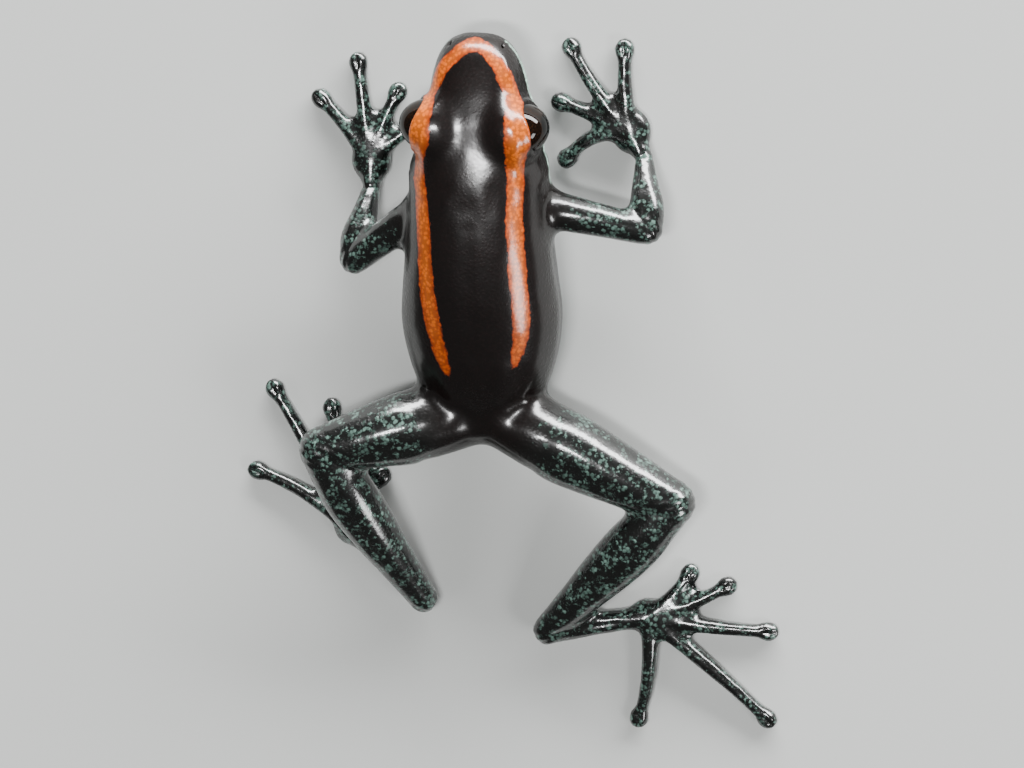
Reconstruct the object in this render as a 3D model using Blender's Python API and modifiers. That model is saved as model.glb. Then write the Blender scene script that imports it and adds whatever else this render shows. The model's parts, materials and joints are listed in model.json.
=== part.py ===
"""A golfodulcean poison frog as a still, life-size model.

The frog lies flat and climbs: the right arm reaches out and forward, the left arm is tucked,
both hind legs are folded back in a Z, and the belly, hands and feet rest on the floor.
The whole body is modelled first and fused into one skin. It is then parted by thin cuts at
the neck and at each joint, and the eyes are set in their sockets.

Metres, +Z up. The frog faces -Y. The origin is the middle of the belly's flat on the floor.
"""

import math

import bmesh
import bpy
from mathutils import Matrix, Vector
from mathutils.bvhtree import BVHTree

MM = 0.001
GAP = 0.3 * MM
SKIN_VOXEL = 0.16 * MM
SKIN_TRIANGLES = 9000

# The body's length from snout to vent drives the rest: every size below is given for a frog
# of 26 mm, in millimetres to the frog's right, forward and up.
SNOUT_TO_VENT = 26.0
SCALE = SNOUT_TO_VENT / 26.0

# Cross-sections of head and body: forward, half width, top, bottom, height of the widest
# place, and squareness, where 2 is an ellipse.
BODY_SECTIONS = {
    "snout_tip": (17.95, 0.75, 5.05, 4.05, 4.50, 2.3),
    "snout_face": (17.60, 1.62, 5.68, 3.48, 4.40, 2.5),
    "nostrils": (16.70, 2.36, 6.28, 3.08, 4.30, 2.6),
    "canthus": (14.90, 3.10, 6.92, 2.74, 4.15, 2.6),
    "eye_front": (13.40, 3.50, 7.28, 2.60, 4.10, 2.5),
    "eye_middle": (11.80, 3.92, 7.50, 2.45, 4.05, 2.4),
    "jaw_corner": (9.30, 4.28, 7.80, 2.20, 4.10, 2.3),
    "shoulders": (6.60, 4.34, 7.90, 1.50, 4.20, 2.2),
    "ribs": (3.20, 4.62, 7.75, 0.30, 4.00, 2.2),
    "belly": (0.00, 4.85, 7.25, -0.28, 3.60, 2.2),
    "sacrum": (-3.20, 4.25, 6.35, 0.12, 3.10, 2.2),
    "hips": (-5.80, 3.00, 4.95, 0.62, 2.70, 2.1),
    "seat": (-7.30, 1.70, 3.85, 1.10, 2.50, 2.1),
    "vent": (-7.95, 0.60, 3.05, 1.85, 2.45, 2.1),
}
BODY_RINGS = 66
RING_POINTS = 40
BELLY_SQUARENESS = 2.7

# Joints of the limbs. The last letter is the frog's own side.
JOINTS = {
    "shoulder_R": (3.6, 7.3, 3.8),
    "elbow_R": (10.1, 5.9, 3.0),
    "wrist_R": (9.5, 9.9, 1.0),
    "palm_R": (8.6, 11.4, 0.75),
    "shoulder_L": (-3.3, 7.0, 3.8),
    "elbow_L": (-8.0, 3.2, 3.0),
    "wrist_L": (-7.3, 7.3, 1.0),
    "palm_L": (-7.4, 8.9, 0.75),
    "hip_R": (1.3, -5.95, 3.0),
    "knee_R": (11.8, -10.95, 3.2),
    "ankle_R": (3.6, -20.0, 1.25),
    "sole_R": (9.8, -18.9, 0.8),
    "hip_L": (-1.1, -5.95, 3.0),
    "knee_L": (-9.65, -8.1, 5.3),
    "ankle_L": (-4.1, -18.4, 1.3),
    "sole_L": (-8.8, -14.2, 0.8),
}

# Radii along each length of limb, from its root to its end, evenly spaced.
LIMB_RADII = {
    "upper_arm": (1.38, 1.18, 1.04, 0.96, 0.95),
    "forearm": (0.95, 1.04, 0.95, 0.74, 0.62),
    "thigh": (2.15, 2.28, 2.12, 1.80, 1.38),
    "shank": (1.36, 1.60, 1.54, 1.22, 0.95),
    "tarsus": (0.86, 0.80, 0.72, 0.72, 0.74),
}
LIMB_STEPS = 13

# Each digit: the way it points from straight forward, towards the frog's right, in degrees,
# its length from the middle of the palm or sole, and how far it curves towards its right.
FINGERS = {
    "R": ((-112, 4.6, -30), (-70, 4.6, -4), (-38, 6.2, 8), (-6, 5.0, 6)),
    "L": ((50, 4.3, 10), (20, 4.5, 6), (-8, 6.0, 0), (-40, 4.8, -8)),
}
TOES = {
    "R": ((44, 3.7, -12), (68, 5.2, -8), (96, 7.4, -4), (130, 9.6, 4), (184, 6.7, 12)),
    "L": ((30, 3.7, 10), (10, 5.2, 6), (-9, 7.4, 0), (-29, 9.6, -4), (-60, 6.7, -14)),
}
FINGER_RADII = (0.56, 0.50, 0.44, 0.40)
TOE_RADII = (0.58, 0.50, 0.43, 0.39)
DISC_SIZE = (0.66, 0.74, 0.38)
PALM_SIZE = (1.25, 1.45, 0.72)
SOLE_SIZE = (1.05, 1.25, 0.74)
PALM_DROP = 0.18
SOLE_DROP = 0.24
DIGIT_HEIGHTS = (0.72, 0.76, 0.56, 0.32)

# The eye, its socket and its lids.
EYE_CENTRE = (2.95, 12.5, 5.75)
EYE_RADIUS = 1.55
EYE_LOOKS = (0.93, 0.22, 0.24)
ORBIT_CENTRE = (2.35, 12.3, 5.7)
ORBIT_SIZE = (2.25, 2.6, 2.15)
LID_FORWARD = 0.72
LID_RING = (1.62, 0.36)
LID_OPENING = 1.36

# The mouth is drawn round the head from one corner to the other, at these heights from the
# front of the snout to the corner.
MOUTH_CENTRE = (0.0, 11.0)
MOUTH_ANGLE = 105
MOUTH_HEIGHTS = (4.02, 3.80, 3.62, 3.52, 3.44, 3.12)
MOUTH_STEPS = 30
MOUTH_RADIUS = 0.15
NOSTRIL_AT = (1.25, 19.0, 5.1)
NOSTRIL_RADIUS = 0.24
EARDRUM_AT = (8.0, 9.75, 4.85)
EARDRUM_RING = (0.6, 0.12)

# How wide a fillet the skin makes where a limb leaves the body.
FILLETS = {
    "shoulder_R": 2.3,
    "shoulder_L": 2.3,
    "hip_R": 3.6,
    "hip_L": 3.6,
    "elbow_R": 1.5,
    "elbow_L": 1.5,
    "knee_R": 1.8,
    "knee_L": 1.8,
    "wrist_R": 1.0,
    "wrist_L": 1.0,
    "ankle_R": 1.1,
    "ankle_L": 1.1,
}
FILLET_PASSES = 22
SKIN_PASSES = 3
FOOT_LEVEL = 0.07

SIDES = {"R": 1, "L": -1}


def frog(right, forward, up):
    """The point so many millimetres to the frog's right, ahead of the belly's flat and up."""
    return Vector((-right, -forward, up)) * MM * SCALE


def joint(name):
    return frog(*JOINTS[name])


def heading(right, forward, up):
    return Vector((-right, -forward, up)).normalized()


def spline(values, t):
    """A smooth value at t, from 0 to 1, through evenly spaced values."""
    last = len(values) - 1
    place = min(max(t, 0.0), 1.0) * last
    i = min(int(place), last - 1)
    u = place - i
    a = values[max(i - 1, 0)]
    b = values[i]
    c = values[i + 1]
    d = values[min(i + 2, last)]
    return b + 0.5 * u * (c - a + u * (2 * a - 5 * b + 4 * c - d + u * (3 * (b - c) + d - a)))


def collection(name):
    made = bpy.data.collections.new(name)
    bpy.context.scene.collection.children.link(made)
    return made


def place_in(group, obj):
    for old in list(obj.users_collection):
        old.objects.unlink(obj)
    group.objects.link(obj)
    return obj


def object_from(group, name, bm):
    mesh = bpy.data.meshes.new(name)
    bm.to_mesh(mesh)
    bm.free()
    obj = bpy.data.objects.new(name, mesh)
    group.objects.link(obj)
    return obj


def applied(obj):
    """Makes what the object's modifiers give its own mesh."""
    bpy.context.view_layer.update()
    graph = bpy.context.evaluated_depsgraph_get()
    mesh = bpy.data.meshes.new_from_object(obj.evaluated_get(graph))
    obj.modifiers.clear()
    obj.data = mesh
    return obj


def section_of(t):
    """The body's cross-section at t, from the snout at 0 to the vent at 1."""
    rows = list(BODY_SECTIONS.values())
    return [spline([row[k] for row in rows], t) for k in range(6)]


def body(group):
    """Head and body in one: rings lofted from the snout to the vent, closed at both ends."""
    bm = bmesh.new()
    rings = []
    for i in range(BODY_RINGS):
        forward, half, top, bottom, widest, square = section_of(i / (BODY_RINGS - 1))
        ring = []
        for k in range(RING_POINTS):
            angle = math.tau * k / RING_POINTS
            across, rise = math.cos(angle), math.sin(angle)
            power = 2 / (square if rise > 0 else BELLY_SQUARENESS)
            reach = (top - widest) if rise > 0 else (widest - bottom)
            right = half * math.copysign(abs(across) ** power, across)
            up = widest + reach * math.copysign(abs(rise) ** power, rise)
            ring.append(bm.verts.new(frog(right, forward, up)))
        rings.append(ring)
    for ring, following in zip(rings, rings[1:]):
        for k in range(RING_POINTS):
            after = (k + 1) % RING_POINTS
            bm.faces.new((ring[k], ring[after], following[after], following[k]))
    bm.faces.new(list(reversed(rings[0])))
    bm.faces.new(rings[-1])
    bmesh.ops.recalc_face_normals(bm, faces=bm.faces)
    return object_from(group, "body_form", bm)


def ball(group, name, centre, size, turn=None):
    """A sphere stretched to three half sizes, in millimetres."""
    bm = bmesh.new()
    bmesh.ops.create_uvsphere(bm, u_segments=24, v_segments=16, radius=1.0)
    stretch = Matrix.Diagonal(Vector(size) * MM * SCALE).to_4x4()
    turned = turn.to_4x4() if turn else Matrix.Identity(4)
    bmesh.ops.transform(bm, matrix=Matrix.Translation(centre) @ turned @ stretch, verts=bm.verts)
    return object_from(group, name, bm)


def rod(group, name, points, radii, facets=5):
    """A tube through the points, with a radius at each in metres and a round end at both."""
    curve = bpy.data.curves.new(name, "CURVE")
    curve.dimensions = "3D"
    curve.bevel_depth = 1.0
    curve.bevel_resolution = facets
    curve.use_fill_caps = True
    line = curve.splines.new("POLY")
    line.points.add(len(points) - 1)
    for spot, point, radius in zip(line.points, points, radii):
        spot.co = (*point, 1.0)
        spot.radius = radius
    guide = bpy.data.objects.new(name, curve)
    group.objects.link(guide)
    bpy.context.view_layer.update()
    mesh = bpy.data.meshes.new_from_object(guide.evaluated_get(bpy.context.evaluated_depsgraph_get()))
    bm = bmesh.new()
    bm.from_mesh(mesh)
    bmesh.ops.remove_doubles(bm, verts=bm.verts, dist=0.001 * MM)
    bpy.data.objects.remove(guide)
    tube = object_from(group, name, bm)
    for end, radius in ((points[0], radii[0]), (points[-1], radii[-1])):
        size = radius / MM / SCALE
        ball(group, name + "_end", end, (size, size, size))
    return tube


def limb_length(group, name, start, end, bow=0.0):
    """One length of a limb: a swelling tube that bows upwards a little on its way."""
    kind, side = name.rsplit("_", 1)
    points, radii = [], []
    for i in range(LIMB_STEPS):
        t = i / (LIMB_STEPS - 1)
        lift = Vector((0, 0, bow * MM * SCALE * math.sin(math.pi * t)))
        points.append(start.lerp(end, t) + lift)
        radii.append(spline(LIMB_RADII[kind], t) * MM * SCALE)
    return rod(group, name, points, radii)


def digit(group, name, root, angle, length, curl, radii):
    """A finger or toe: a jointed, slightly arched tube that ends in a flat disc."""
    points, widths = [], []
    steps = 9
    place = Vector((root.x, root.y, 0))
    stride = length * MM * SCALE / (steps - 1)
    for i in range(steps):
        t = i / (steps - 1)
        way = math.radians(angle + curl * (2 * t - 1))
        if i:
            place = place + stride * Vector((-math.sin(way), -math.cos(way), 0))
        height = spline(DIGIT_HEIGHTS, t) * MM * SCALE
        points.append(Vector((place.x, place.y, height)))
        widths.append(spline(radii, t) * MM * SCALE)
    rod(group, name, points, widths)
    turn = Matrix.Rotation(-way, 3, "Z")
    return ball(group, name + "_disc", points[-1], DISC_SIZE, turn)


def arm(group, side):
    shoulder, elbow = joint("shoulder_" + side), joint("elbow_" + side)
    wrist, palm = joint("wrist_" + side), joint("palm_" + side)
    limb_length(group, "upper_arm_" + side, shoulder, elbow, 0.25)
    limb_length(group, "forearm_" + side, elbow, wrist, 0.2)
    radius = LIMB_RADII["forearm"][-1] * MM * SCALE
    rod(group, "wrist_form_" + side, [wrist, palm], [radius, radius])
    ball(group, "palm_" + side, palm - Vector((0, 0, PALM_DROP * MM * SCALE)), PALM_SIZE)
    for i, (angle, length, curl) in enumerate(FINGERS[side]):
        digit(group, f"finger{i + 1}_{side}", palm, angle, length, curl, FINGER_RADII)


def leg(group, side):
    hip, knee = joint("hip_" + side), joint("knee_" + side)
    ankle, sole = joint("ankle_" + side), joint("sole_" + side)
    limb_length(group, "thigh_" + side, hip, knee, 0.3)
    limb_length(group, "shank_" + side, knee, ankle, 0.3)
    limb_length(group, "tarsus_" + side, ankle, sole)
    middle = sum(angle for angle, _, _ in TOES[side]) / len(TOES[side])
    turn = Matrix.Rotation(-math.radians(middle), 3, "Z")
    ball(group, "sole_" + side, sole - Vector((0, 0, SOLE_DROP * MM * SCALE)), SOLE_SIZE, turn)
    for i, (angle, length, curl) in enumerate(TOES[side]):
        digit(group, f"toe{i + 1}_{side}", sole, angle, length, curl, TOE_RADII)


def mirrored(point, side):
    return frog(SIDES[side] * point[0], point[1], point[2])


def eye_way(side):
    return heading(SIDES[side] * EYE_LOOKS[0], EYE_LOOKS[1], EYE_LOOKS[2])


def lid_turn(side):
    return eye_way(side).to_track_quat("Z", "Y").to_matrix()


def ring(group, name, centre, turn, sizes):
    """A torus of a main and a minor radius in millimetres."""
    bpy.ops.mesh.primitive_torus_add(
        major_segments=24,
        minor_segments=6,
        major_radius=sizes[0] * MM * SCALE,
        minor_radius=sizes[1] * MM * SCALE,
    )
    made = bpy.context.object
    made.name = name
    made.data.transform(Matrix.Translation(centre) @ turn.to_4x4())
    return place_in(group, made)


def orbit(group, side):
    """The bulge of the head round an eye, with the ring of its two lids."""
    ball(group, "orbit_" + side, mirrored(ORBIT_CENTRE, side), ORBIT_SIZE)
    centre = mirrored(EYE_CENTRE, side) + eye_way(side) * LID_FORWARD * MM * SCALE
    ring(group, "lids_" + side, centre, lid_turn(side), LID_RING)


def fused_skin(group, forms):
    """Every form in one closed skin, smooth where limbs leave the body, flat where it rests."""
    bm = bmesh.new()
    for form in forms:
        part = bmesh.new()
        part.from_mesh(form.data)
        bmesh.ops.recalc_face_normals(part, faces=part.faces)
        part.to_mesh(form.data)
        part.free()
        bm.from_mesh(form.data)
    skin = object_from(group, "skin", bm)
    for form in forms:
        bpy.data.objects.remove(form)
    remesh = skin.modifiers.new("one skin", "REMESH")
    remesh.mode = "VOXEL"
    remesh.voxel_size = SKIN_VOXEL * SCALE
    applied(skin)
    near = skin.vertex_groups.new(name="fillets")
    centres = [(joint(name), reach * MM * SCALE) for name, reach in FILLETS.items()]
    for vertex in skin.data.vertices:
        weight = max(1.2 - (vertex.co - centre).length / reach for centre, reach in centres)
        if weight > 0:
            near.add([vertex.index], min(weight, 1.0), "REPLACE")
    fillet = skin.modifiers.new("fillets", "SMOOTH")
    fillet.vertex_group = near.name
    fillet.iterations = FILLET_PASSES
    even = skin.modifiers.new("even", "SMOOTH")
    even.iterations = SKIN_PASSES
    fewer = skin.modifiers.new("fewer faces", "DECIMATE")
    fewer.ratio = SKIN_TRIANGLES / (2 * len(skin.data.polygons))
    applied(skin)
    for vertex in skin.data.vertices:
        if vertex.co.z < FOOT_LEVEL * MM * SCALE:
            vertex.co.z = 0.0
    return skin


def slab(group, name, centre, normal, along, long_half, tall_half):
    """A thin cutter: a plate as thick as the gap, square to normal and centred on the joint."""
    across = (along - normal * along.dot(normal)).normalized()
    third = normal.cross(across)
    turn = Matrix((across, third, normal)).transposed()
    bm = bmesh.new()
    bmesh.ops.create_cube(bm, size=1.0)
    stretch = Matrix.Diagonal((2 * long_half * MM * SCALE, 2 * tall_half * MM * SCALE, GAP)).to_4x4()
    bmesh.ops.transform(bm, matrix=Matrix.Translation(centre) @ turn.to_4x4() @ stretch, verts=bm.verts)
    return object_from(group, name, bm)


def mitre(group, name, before, at, after, long_half, tall_half, shift=0.0):
    """A cut at a bent joint, along the plane that halves its angle."""
    coming = (joint(at) - joint(before)).normalized()
    going = (joint(after) - joint(at)).normalized()
    normal = (coming + going).normalized()
    outward = (coming - going).normalized()
    centre = joint(at) - outward * shift * MM * SCALE
    return slab(group, name, centre, normal, outward, long_half, tall_half)


def joint_cuts(group):
    neck_way = heading(0, 0.94, 0.342)
    slab(group, "cut_neck", frog(0, 8.45, 5.1), neck_way, heading(1, 0, 0), 5.0, 5.0)
    for side, way in SIDES.items():
        root = frog(way * 4.95, 6.0 if side == "L" else 7.0, 3.7)
        slab(group, "cut_shoulder_" + side, root, heading(way, 0, 0), heading(0, 1, 0), 2.6, 2.2)
        hip, knee = joint("hip_" + side), joint("knee_" + side)
        thigh_way = (knee - hip).normalized()
        root = hip + thigh_way * 3.3 * MM * SCALE
        slab(group, "cut_hip_" + side, root, thigh_way, heading(0, 1, 0), 2.9, 3.2)
        mitre(group, "cut_elbow_" + side, "shoulder_" + side, "elbow_" + side, "wrist_" + side, 3.9, 2.2, 2.0)
        mitre(group, "cut_wrist_" + side, "elbow_" + side, "wrist_" + side, "palm_" + side, 1.3, 1.3)
        mitre(group, "cut_knee_" + side, "hip_" + side, "knee_" + side, "ankle_" + side, 3.7, 2.5, 0.8)
        mitre(group, "cut_ankle_" + side, "knee_" + side, "ankle_" + side, "sole_" + side, 3.6, 2.2, 1.4)
        sole, ankle = joint("sole_" + side), joint("ankle_" + side)
        tarsus_way = (sole - ankle).normalized()
        centre = sole - tarsus_way * 1.5 * MM * SCALE
        slab(group, "cut_foot_" + side, centre, tarsus_way, heading(0, 0, 1), 1.6, 1.3)


def surface_of(skin):
    bm = bmesh.new()
    bm.from_mesh(skin.data)
    tree = BVHTree.FromBMesh(bm)
    bm.free()
    return tree


def mouth_cut(group, surface):
    """The line of the mouth: a fine rod laid on the head from corner to corner."""
    points = []
    for i in range(2 * MOUTH_STEPS + 1):
        share = (i - MOUTH_STEPS) / MOUTH_STEPS
        angle = math.radians(MOUTH_ANGLE * share)
        height = spline(MOUTH_HEIGHTS, abs(share))
        out = heading(math.sin(angle), math.cos(angle), 0)
        start = frog(MOUTH_CENTRE[0], MOUTH_CENTRE[1], height) + out * 12 * MM * SCALE
        points.append(surface.ray_cast(start, -out)[0])
    radii = [MOUTH_RADIUS * MM * SCALE] * len(points)
    return rod(group, "cut_mouth", points, radii, facets=1)


def head_cuts(group, surface):
    """Eye sockets, nostrils and the rim round each eardrum."""
    for side, way in SIDES.items():
        eye = mirrored(EYE_CENTRE, side)
        socket = EYE_RADIUS + 0.25
        ball(group, "cut_socket_" + side, eye, (socket, socket, socket))
        start = Vector((0, 0, 0))
        gaze = eye_way(side)
        bm = bmesh.new()
        bmesh.ops.create_cone(
            bm,
            cap_ends=True,
            segments=24,
            radius1=LID_OPENING * MM * SCALE,
            radius2=(LID_OPENING + 0.7) * MM * SCALE,
            depth=2.4 * MM * SCALE,
        )
        centre = eye + gaze * (0.45 + 1.2) * MM * SCALE
        bmesh.ops.transform(bm, matrix=Matrix.Translation(centre) @ lid_turn(side).to_4x4(), verts=bm.verts)
        object_from(group, "cut_lids_" + side, bm)
        start = frog(way * NOSTRIL_AT[0], NOSTRIL_AT[1], NOSTRIL_AT[2])
        inward = heading(way * 0.25, -1, 0)
        spot = surface.ray_cast(start, inward)[0]
        ball(group, "cut_nostril_" + side, spot, (NOSTRIL_RADIUS,) * 3)
        start = frog(way * EARDRUM_AT[0], EARDRUM_AT[1], EARDRUM_AT[2])
        spot, normal, _, _ = surface.ray_cast(start, heading(-way, 0, 0))
        turn = normal.to_track_quat("Z", "Y").to_matrix()
        ring(group, "cut_eardrum_" + side, spot, turn, EARDRUM_RING)


def cut(skin, cutters):
    """Takes every cutter out of the skin, in one Boolean."""
    away = skin.modifiers.new("cuts", "BOOLEAN")
    away.operation = "DIFFERENCE"
    away.operand_type = "COLLECTION"
    away.collection = cutters
    away.solver = "EXACT"
    return applied(skin)


def middle_of(*names):
    spots = [joint(name) for name in names]
    return sum(spots, Vector()) / len(spots)


def node_places():
    """Where each node's own flesh lies, by which its piece is told from the others."""
    places = {"head": frog(0, 12, 5), "torso": frog(0, 1, 4)}
    for side, word in (("R", "right"), ("L", "left")):
        places["upper_arm_" + word] = middle_of("shoulder_" + side, "elbow_" + side)
        places["forearm_" + word] = middle_of("elbow_" + side, "wrist_" + side)
        places["hand_" + word] = joint("palm_" + side)
        places["thigh_" + word] = middle_of("hip_" + side, "knee_" + side)
        places["shank_" + word] = middle_of("knee_" + side, "ankle_" + side)
        places["tarsus_" + word] = middle_of("ankle_" + side, "sole_" + side)
        places["foot_" + word] = joint("sole_" + side)
    return places


def islands(bm):
    """The closed surfaces of a mesh, as lists of faces."""
    left = set(bm.faces)
    found = []
    while left:
        seed = left.pop()
        island, edge_of_it = [seed], [seed]
        while edge_of_it:
            face = edge_of_it.pop()
            for side in face.edges:
                for other in side.link_faces:
                    if other in left:
                        left.remove(other)
                        island.append(other)
                        edge_of_it.append(other)
        found.append(island)
    return found


def parted(group, skin):
    """One object for each node: the largest piece of skin round each node's place."""
    bm = bmesh.new()
    bm.from_mesh(skin.data)
    pieces = sorted(islands(bm), key=len, reverse=True)
    places = node_places()
    made = {}
    for piece in pieces:
        corners = {vertex for face in piece for vertex in face.verts}
        centre = sum((vertex.co for vertex in corners), Vector()) / len(corners)
        name = min(places, key=lambda key: (places[key] - centre).length)
        if name in made or len(piece) < 60:
            continue
        node = bmesh.new()
        copies = {vertex: node.verts.new(vertex.co) for vertex in corners}
        for face in piece:
            node.faces.new([copies[vertex] for vertex in face.verts])
        made[name] = object_from(group, name, node)
    bm.free()
    bpy.data.objects.remove(skin)
    return made


def finish_of(name, colour, roughness):
    material = bpy.data.materials.new(name)
    material.use_nodes = True
    shader = material.node_tree.nodes["Principled BSDF"]
    shader.inputs["Base Color"].default_value = (*colour, 1.0)
    shader.inputs["Roughness"].default_value = roughness
    shader.inputs["Metallic"].default_value = 0.0
    return material


def eyes(group):
    for side, word in (("R", "right"), ("L", "left")):
        eye = ball(group, "eye_" + word, mirrored(EYE_CENTRE, side), (EYE_RADIUS,) * 3)
        eye.data.materials.append(finish_of("dark wet eye " + word, (0.02, 0.014, 0.01), 0.08))
        eye.data.shade_smooth()


def main():
    for obj in list(bpy.data.objects):
        bpy.data.objects.remove(obj)
    parts = collection("golfodulcean_poison_frog")
    forms = collection("forms")
    cutters = collection("cutters")
    body(forms)
    for side in SIDES:
        arm(forms, side)
        leg(forms, side)
        orbit(forms, side)
    skin = fused_skin(forms, list(forms.objects))
    surface = surface_of(skin)
    joint_cuts(cutters)
    mouth_cut(cutters, surface)
    head_cuts(cutters, surface)
    cut(skin, cutters)
    for cutter in cutters.objects:
        cutter.hide_render = True
        cutter.display_type = "WIRE"
    nodes = parted(parts, skin)
    for name, node in nodes.items():
        limb = name not in ("head", "torso")
        colour = (0.10, 0.17, 0.16) if limb else (0.012, 0.011, 0.011)
        node.data.materials.append(finish_of("moist skin " + name, colour, 0.3))
        node.data.set_sharp_from_angle(angle=math.radians(50))
    eyes(parts)


main()
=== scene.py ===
"""A golfodulcean poison frog, life size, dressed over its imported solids.

The order is that of a museum's workshop: the view and the studio, the skin with its small
forms and its markings, and the eyes. Lengths are metres, +Z is up and the frog faces -Y.
"""

import json
import math

import bpy
import numpy as np
from mathutils import Matrix, Vector
from mathutils.bvhtree import BVHTree
from mathutils.kdtree import KDTree

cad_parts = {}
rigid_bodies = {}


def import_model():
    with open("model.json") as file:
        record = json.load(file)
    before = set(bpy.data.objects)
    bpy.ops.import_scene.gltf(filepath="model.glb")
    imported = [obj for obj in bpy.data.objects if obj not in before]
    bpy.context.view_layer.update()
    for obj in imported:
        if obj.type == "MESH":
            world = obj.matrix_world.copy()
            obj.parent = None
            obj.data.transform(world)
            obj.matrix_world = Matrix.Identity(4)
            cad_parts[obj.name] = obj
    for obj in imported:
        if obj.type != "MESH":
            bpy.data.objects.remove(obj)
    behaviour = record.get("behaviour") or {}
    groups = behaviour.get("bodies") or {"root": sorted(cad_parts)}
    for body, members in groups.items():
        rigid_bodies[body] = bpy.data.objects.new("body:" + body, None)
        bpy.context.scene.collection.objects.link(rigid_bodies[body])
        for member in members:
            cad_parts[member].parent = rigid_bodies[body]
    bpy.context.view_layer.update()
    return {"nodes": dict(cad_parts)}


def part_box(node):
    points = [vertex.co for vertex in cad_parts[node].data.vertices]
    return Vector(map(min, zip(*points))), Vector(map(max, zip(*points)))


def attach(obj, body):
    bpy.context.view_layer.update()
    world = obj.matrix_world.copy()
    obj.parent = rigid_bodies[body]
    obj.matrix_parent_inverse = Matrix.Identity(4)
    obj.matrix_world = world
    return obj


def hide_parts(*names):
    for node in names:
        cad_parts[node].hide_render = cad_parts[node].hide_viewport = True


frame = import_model()
bpy.ops.object.select_all(action="DESELECT")


# The view. The frog sat on an upright wall with its head up, and here it lies on the floor,
# so the camera looks down on its back: 15 degrees towards the head and 11 towards the frog's
# right, with the head up in the picture. A long lens keeps the even perspective of a far camera.
MM = 0.001
TOWARDS_HEAD = math.radians(15)
TOWARDS_RIGHT = math.radians(11)
CAMERA_DISTANCE = 0.6
FIELD_WIDTH = 62 * MM
SENSOR_WIDTH = 36
# The picture's middle, in millimetres from the origin: to the right, down, and to the camera.
MIDDLE_RIGHT, MIDDLE_DOWN, MIDDLE_NEARER = 1.15, 4.78, 2.5
look_back = Vector((-math.tan(TOWARDS_RIGHT), -math.tan(TOWARDS_HEAD), 1)).normalized()
picture_up = Vector((0, -1, 0))
picture_up = (picture_up - look_back * picture_up.dot(look_back)).normalized()
picture_right = picture_up.cross(look_back)
middle = picture_right * MIDDLE_RIGHT - picture_up * MIDDLE_DOWN + look_back * MIDDLE_NEARER
middle = middle * MM
bpy.ops.object.camera_add(location=middle + look_back * CAMERA_DISTANCE)
camera = bpy.context.object
camera.name = "camera"
turn = Matrix((picture_right, picture_up, look_back)).transposed()
camera.rotation_euler = turn.to_euler()
camera.data.sensor_width = SENSOR_WIDTH
camera.data.lens = SENSOR_WIDTH * CAMERA_DISTANCE / FIELD_WIDTH
camera.data.clip_start = 0.01
camera.data.clip_end = 20
bpy.context.scene.camera = camera


# The studio. A plain pale floor, a grey surround and soft boxes: the main one stands past the
# head, small ones at the right of the rump and nearly overhead, and one fills from the left.
def linear(code):
    """The linear colour of an sRGB hex value."""
    values = [int(code[i : i + 2], 16) / 255 for i in (0, 2, 4)]
    return tuple(v / 12.92 if v <= 0.04045 else ((v + 0.055) / 1.055) ** 2.4 for v in values)


def color(code):
    """The same colour as a shader's socket takes it, with nothing showing through."""
    return (*linear(code), 1)


def soft_box(name, direction, distance, size, power, top=(0, 0, 1)):
    """A soft box that looks at the frog, its size given across and along the way to its top."""
    back = Vector(direction).normalized()
    place = middle + back * distance
    across = Vector(top).cross(back).normalized()
    bpy.ops.object.light_add(type="AREA", location=place)
    lamp = bpy.context.object
    lamp.name = name
    lamp.data.shape = "RECTANGLE"
    lamp.data.size, lamp.data.size_y = size
    lamp.data.energy = power
    lamp.rotation_euler = Matrix((across, back.cross(across), back)).transposed().to_euler()


soft_box("soft_box_head", (-0.30, -0.92, 0.27), distance=0.42, size=(0.66, 0.115), power=10.5)
soft_box("soft_box_side", (-0.70, 0.36, 0.58), distance=0.42, size=(0.15, 0.09), power=0.7)
soft_box(
    "soft_box_overhead",
    (0.0, -0.10, 1.0),
    distance=0.45,
    size=(0.12, 0.036),
    power=1.5,
    top=(0, -1, 0),
)
soft_box("soft_box_fill", (0.9, 0.45, 0.6), distance=0.5, size=(0.25, 0.25), power=0.55)
bpy.context.object.visible_glossy = False

surround = bpy.data.worlds.new("studio surround")
surround.use_nodes = True
surround.node_tree.nodes["Background"].inputs["Color"].default_value = color("E4E5E3")
surround.node_tree.nodes["Background"].inputs["Strength"].default_value = 0.14
bpy.context.scene.world = surround

bpy.ops.mesh.primitive_plane_add(size=1.6, location=(0, 0, -0.02 * MM))
floor = bpy.context.object
floor.name = "studio_floor"
floor_paint = bpy.data.materials.new("matt studio floor paint")
floor_paint.use_nodes = True
floor_shader = floor_paint.node_tree.nodes["Principled BSDF"]
floor_shader.inputs["Base Color"].default_value = color("B8BAB8")
floor_shader.inputs["Roughness"].default_value = 0.7
floor.data.materials.append(floor_paint)


# The skin's body. In life one thin moist skin covers the frog, so the solids' copies are swelled
# until their joint cuts close, fused into one surface, drawn in again and worked smooth, most on
# the trunk and least on the fingers. The eye sockets are filled behind the eyeballs.
def pick(*pieces):
    """Selects these pieces alone, with the last one active."""
    bpy.ops.object.select_all(action="DESELECT")
    for piece in pieces:
        piece.select_set(True)
        bpy.context.view_layer.objects.active = piece


flesh = sorted(name for name in frame["nodes"] if not name.startswith("eye"))
copies = [bpy.data.objects.new("flesh", frame["nodes"][name].data.copy()) for name in flesh]
for copy in copies:
    bpy.context.scene.collection.objects.link(copy)
pick(*copies)
bpy.ops.object.join()
skin = bpy.context.object
skin.name = "frog_skin"
bpy.ops.object.mode_set(mode="EDIT")
bpy.ops.mesh.select_all(action="SELECT")
bpy.ops.mesh.remove_doubles(threshold=0.001 * MM)
bpy.ops.object.mode_set(mode="OBJECT")

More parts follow.
